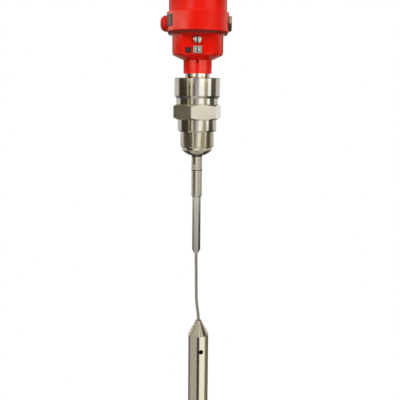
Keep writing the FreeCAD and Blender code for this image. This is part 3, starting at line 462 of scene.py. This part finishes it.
def on_band(vertex):
    """Whether a corner lies on the plain band that the thread takes the place of."""
    radius = math.hypot(vertex.co.x, vertex.co.y)
    level = THREAD_BOTTOM - HEIGHT_SLACK < vertex.co.z < HEIGHT_SLACK
    return level and abs(radius - THREAD_RADIUS) < RADIUS_SLACK


band = [face for face in shape.faces if all(on_band(vertex) for vertex in face.verts)]
bmesh.ops.delete(shape, geom=band, context="FACES")
turns = math.ceil(-THREAD_BOTTOM / PITCH) + 2
rungs = len(THREAD_PROFILE)
grid = []
for column in range(COLUMNS):
    angle = 2 * math.pi * column / COLUMNS
    rail = []
    for row in range(turns * rungs):
        share, depth = THREAD_PROFILE[row % rungs]
        height = THREAD_BOTTOM + PITCH * (row // rungs - 1 + share + column / COLUMNS)
        inside = THREAD_BOTTOM < height < 0
        radius = THREAD_RADIUS - (THREAD_DEPTH * depth if inside else 0)
        height = min(max(height, THREAD_BOTTOM), 0)
        rail.append(shape.verts.new(
            (radius * math.cos(angle), radius * math.sin(angle), height)))
    grid.append(rail)
for column in range(COLUMNS):
    ahead = grid[(column + 1) % COLUMNS]
    shift = rungs if column == COLUMNS - 1 else 0
    for row in range(turns * rungs - 1 - shift):
        shape.faces.new((grid[column][row], ahead[row + shift], ahead[row + shift + 1],
                         grid[column][row + 1]))
bmesh.ops.dissolve_degenerate(shape, dist=THREAD_WELD, edges=shape.edges)
bmesh.ops.remove_doubles(shape, verts=shape.verts, dist=THREAD_WELD)
mesh = bpy.data.meshes.new("threaded_fitting")
shape.to_mesh(mesh)
if "custom_normal" in mesh.attributes:
    mesh.attributes.remove(mesh.attributes["custom_normal"])
mesh.shade_smooth()
mesh.set_sharp_from_angle(angle=SHARP_ANGLE)
threaded = finished_mesh("threaded_fitting", mesh, "probe", fitting_steel)
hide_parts("process_fitting")

# Red coating
# Baked enamel on the casting and the lid: strong orange red under a glossy skin, with the
# faint ripple that sprayed coating has. The ledge under the entry ring is painted dark and
# dull as shade.
LEDGE_BOTTOM = 0.1318
LEDGE_TOP = 0.1354
CAN_RADIUS = 0.0368
ENAMEL_TONES = [(0.80, 0.008, 0.002), (0.86, 0.010, 0.003)]
ENAMEL_ROUGHNESS = 0.11
LEDGE_SHADE_TONE = (0.20, 0.012, 0.008, 1)
LEDGE_ROUGHNESS = 0.6
ENAMEL_SCALE = 25.0
RIPPLE_SCALE = 350.0
RIPPLE_DEPTH = 0.0002
red_coating, tree, enamel = shader_of("red_coating")
place = add_node(tree, "TexCoord").outputs["Object"]
bump = add_node(tree, "Bump", {"Height": cloud(tree, place, RIPPLE_SCALE),
                               "Strength": 0.05, "Distance": RIPPLE_DEPTH})
tree.links.new(bump.outputs[0], enamel.inputs["Normal"])
height = add_node(tree, "SeparateXYZ", {"Vector": place}).outputs["Z"]
flattened = add_node(tree, "VectorMath", {0: place, 1: (1, 1, 0)}, operation="MULTIPLY")
radius = add_node(tree, "VectorMath", {0: flattened.outputs[0]}, operation="LENGTH")
band = product(tree, is_above(tree, height, LEDGE_BOTTOM), is_below(tree, height, LEDGE_TOP))
# Painted shade: the ledge under the entry ring is coloured dark red and made dull, for the
# shadow under the ring.
ledge_shade = product(tree, band, is_above(tree, radius.outputs["Value"], CAN_RADIUS))
coat = tinted(tree, cloud(tree, place, ENAMEL_SCALE), ENAMEL_TONES)
tree.links.new(mixed(tree, ledge_shade, coat, LEDGE_SHADE_TONE), enamel.inputs["Base Color"])
tree.links.new(between(tree, ledge_shade, 0, 1, ENAMEL_ROUGHNESS, LEDGE_ROUGHNESS),
               enamel.inputs["Roughness"])
enamel.inputs["Specular IOR Level"].default_value = 0.5
dress(red_coating, "housing_body", "screw_lid")

# Entry cap
# A moulded plastic cap screwed into the left cable entry. It is shinier and a touch deeper
# red than the coating.
CAP_SCALE = 60.0
CAP_TONES = [(0.62, 0.010, 0.006), (0.70, 0.014, 0.008)]
red_plastic, tree, plastic = shader_of("red_plastic")
place = add_node(tree, "TexCoord").outputs["Object"]
tree.links.new(tinted(tree, cloud(tree, place, CAP_SCALE), CAP_TONES),
               plastic.inputs["Base Color"])
plastic.inputs["Roughness"].default_value = 0.15
dress(red_plastic, "entry_cap")

# Blanking plug
# Turned from brass and nickel-plated, screwed into the right cable entry. It is a little
# brown where the plating is thin.
WEAR_SCALE = 160.0
PLUG_TONES = [(0.52, 0.42, 0.27), (0.72, 0.64, 0.48)]
plug_metal, tree, metal = shader_of("plug_metal")
place = add_node(tree, "TexCoord").outputs["Object"]
wear = cloud(tree, place, WEAR_SCALE, 4.0)
tree.links.new(tinted(tree, wear, PLUG_TONES, (0.35, 0.65)), metal.inputs["Base Color"])
metal.inputs["Metallic"].default_value = 1.0
metal.inputs["Roughness"].default_value = 0.24
dress(plug_metal, "blanking_plug")

# Bright hardware
# Plated steel: the wire clamp, the ring that keeps the housing on its neck, and the small
# screws inside. The plating has a fine grain.
PLATING_SCALE = 1500.0
PLATING_TONE = (0.9, 0.9, 0.87, 1)
bright_steel, tree, plated = shader_of("bright_steel")
place = add_node(tree, "TexCoord").outputs["Object"]
grain = cloud(tree, place, PLATING_SCALE, 3.0)
tree.links.new(between(tree, grain, 0, 1, 0.22, 0.42), plated.inputs["Roughness"])
plated.inputs["Base Color"].default_value = PLATING_TONE
plated.inputs["Metallic"].default_value = 1.0
dress(bright_steel, "earth_clamp", "retaining_ring", "module_screw_1", "module_screw_2",
      "terminal_screw_1", "terminal_screw_2", "terminal_screw_3", "terminal_screw_4")

# Slotted screws
# The two plated steel screws of the earth terminal have slightly domed heads, so each shows
# the room from bright to dark across its face. Their upright slots are painted dark as shade.
SCREW_HEIGHTS = {"earth_screw": 0.1242, "clamp_screw": 0.1110}
DOME_RADIUS = 0.011
SLOT_EDGE = (0.0004, 0.0007)
SLOT_SHADE_TONE = (0.12, 0.115, 0.10, 1)
HEAD_SCALE = 900.0
HEAD_TONES = [(0.62, 0.61, 0.56), (0.95, 0.95, 0.93)]


def off_middle(tree, value, middle=0.0):
    """How far a value lies from a middle one, either way."""
    apart = add_node(tree, "Math", {0: value, 1: middle}, operation="SUBTRACT")
    return add_node(tree, "Math", {0: apart.outputs[0]}, operation="ABSOLUTE").outputs[0]


def slotted_steel(name, height):
    """Plated steel of a screw whose middle lies at this height."""
    made, tree, plated = shader_of(name + "_steel")
    place = add_node(tree, "TexCoord").outputs["Object"]
    split = add_node(tree, "SeparateXYZ", {"Vector": place})
    # Painted shade: a dark line along each screw's upright slot.
    slot_shade = between(tree, off_middle(tree, split.outputs["X"]), *SLOT_EDGE, 1.0, 0.0)
    grain = cloud(tree, place, HEAD_SCALE, 3.0)
    plating = tinted(tree, grain, HEAD_TONES, (0.35, 0.6))
    tree.links.new(mixed(tree, slot_shade, plating, SLOT_SHADE_TONE), plated.inputs["Base Color"])
    rise = add_node(tree, "Math", {0: split.outputs["Z"], 1: height}, operation="SUBTRACT")
    off_centre = add_node(tree, "CombineXYZ", {"X": split.outputs["X"], "Z": rise.outputs[0]})
    away = add_node(tree, "VectorMath", {0: off_centre.outputs[0]}, operation="LENGTH")
    square = add_node(tree, "Math", {0: away.outputs["Value"], 1: 2.0}, operation="POWER")
    dome = product(tree, square.outputs[0], -0.5 / DOME_RADIUS)
    bump = add_node(tree, "Bump", {"Height": dome, "Strength": 1.0, "Distance": 1.0})
    tree.links.new(bump.outputs[0], plated.inputs["Normal"])
    tree.links.new(between(tree, grain, 0, 1, 0.12, 0.3), plated.inputs["Roughness"])
    plated.inputs["Metallic"].default_value = 1.0
    return made


for screw, height in SCREW_HEIGHTS.items():
    dress(slotted_steel(screw, height), screw)

# Seals, plates and the parts inside
# Rubber rings, the seal under the nose, insulators, the electronics with their board and
# cover, brass contacts, two blackened screws and the black plate. All are plain, with a fine
# grain.
MOULD_GRAIN = 400.0
GRAIN_DEPTH = 0.0001
GRAIN_SHADE = 0.85


def moulded(name, colour, roughness):
    """A matte moulded or rubber finish with a fine grain."""
    made, tree, skin = shader_of(name)
    place = add_node(tree, "TexCoord").outputs["Object"]
    darker = tuple(part * GRAIN_SHADE for part in colour)
    grain = cloud(tree, place, MOULD_GRAIN, 3.0)
    tree.links.new(tinted(tree, grain, [darker, colour]), skin.inputs["Base Color"])
    bump = add_node(tree, "Bump", {"Height": grain, "Strength": 0.15,
                                   "Distance": GRAIN_DEPTH})
    tree.links.new(bump.outputs[0], skin.inputs["Normal"])
    skin.inputs["Roughness"].default_value = roughness
    return made


dress(moulded("seal_rubber", (0.02, 0.02, 0.02), 0.6), "neck_oring_lower",
      "neck_oring_upper", "plug_seal", "lid_oring")
dress(moulded("black_seal", (0.03, 0.03, 0.035), 0.45), "nose_seal")
dress(moulded("white_insulator", (0.85, 0.85, 0.83), 0.5), "spacer_sleeve",
      "neck_insulator", "glass_seal")
dress(moulded("black_pot", (0.03, 0.03, 0.03), 0.5), "electronics_pot")
dress(moulded("grey_cover", (0.34, 0.35, 0.36), 0.5), "module_cover", "terminal_block")
dress(moulded("board_lacquer", (0.03, 0.22, 0.1), 0.3), "circuit_board")
dress(moulded("contact_brass", (0.75, 0.6, 0.3), 0.3), "signal_socket", "signal_rod")
dress(moulded("black_oxide", (0.035, 0.033, 0.03), 0.5), "set_screw", "lock_screw")
dress(moulded("symbol_foil", (0.012, 0.012, 0.016), 0.4), "symbol_plate")

# Earth symbol
# The common sign for an earth terminal, printed in grey on the black plate beside the clamp.
# It is one upright line on three level ones.
SYMBOL_PLACE = Vector((-0.0128, -0.02842, 0.1103))
LINE_WIDTH = 0.00035
INK_DEPTH = 0.00004
# Each line: how far it lies above the place, its width and its height
SYMBOL_LINES = [(0.0013, LINE_WIDTH, 0.0024), (0, 0.0040, LINE_WIDTH),
                (-0.0010, 0.0026, LINE_WIDTH), (-0.0020, 0.0012, LINE_WIDTH)]
print_grey = moulded("print_grey", (0.10, 0.10, 0.12), 0.5)
shape = bmesh.new()
for up, wide, tall in SYMBOL_LINES:
    place = Matrix.Translation(SYMBOL_PLACE + Vector((0, 0, up)))
    bmesh.ops.create_cube(shape, matrix=place @ Matrix.Diagonal((wide, INK_DEPTH, tall, 1)))
mesh = bpy.data.meshes.new("earth_symbol")
shape.to_mesh(mesh)
finished_mesh("earth_symbol", mesh, "housing", print_grey)

# Label plate
# A thin dark plastic foil stuck round the entry ring on the left. A painted sheen runs paler
# along its middle.
PLATE_TURN = -62
PLATE_MIDDLE = 0.1496
SHEEN_EDGE = (math.radians(2.2), math.radians(4.6))
SHEEN_END = (0.0045, 0.0062)
SHEEN_TONE = (0.22, 0.20, 0.185, 1)
plate_foil = moulded("plate_foil", (0.085, 0.10, 0.105), 0.4)
tree = plate_foil.node_tree
foil = tree.nodes["Principled BSDF"]
place = add_node(tree, "TexCoord").outputs["Object"]
split = add_node(tree, "SeparateXYZ", {"Vector": place})
front = product(tree, split.outputs["Y"], -1.0)
bearing = add_node(tree, "Math", {0: split.outputs["X"], 1: front}, operation="ARCTAN2")
across = off_middle(tree, bearing.outputs[0], math.radians(PLATE_TURN))
along = off_middle(tree, split.outputs["Z"], PLATE_MIDDLE)
# Painted sheen: a paler upright strip down the middle of the plate.
share = product(tree, between(tree, across, *SHEEN_EDGE, 1.0, 0.0),
                between(tree, along, *SHEEN_END, 1.0, 0.0))
plain_foil = foil.inputs["Base Color"].links[0].from_socket
tree.links.new(mixed(tree, share, plain_foil, SHEEN_TONE), foil.inputs["Base Color"])
dress(plate_foil, "label_plate")
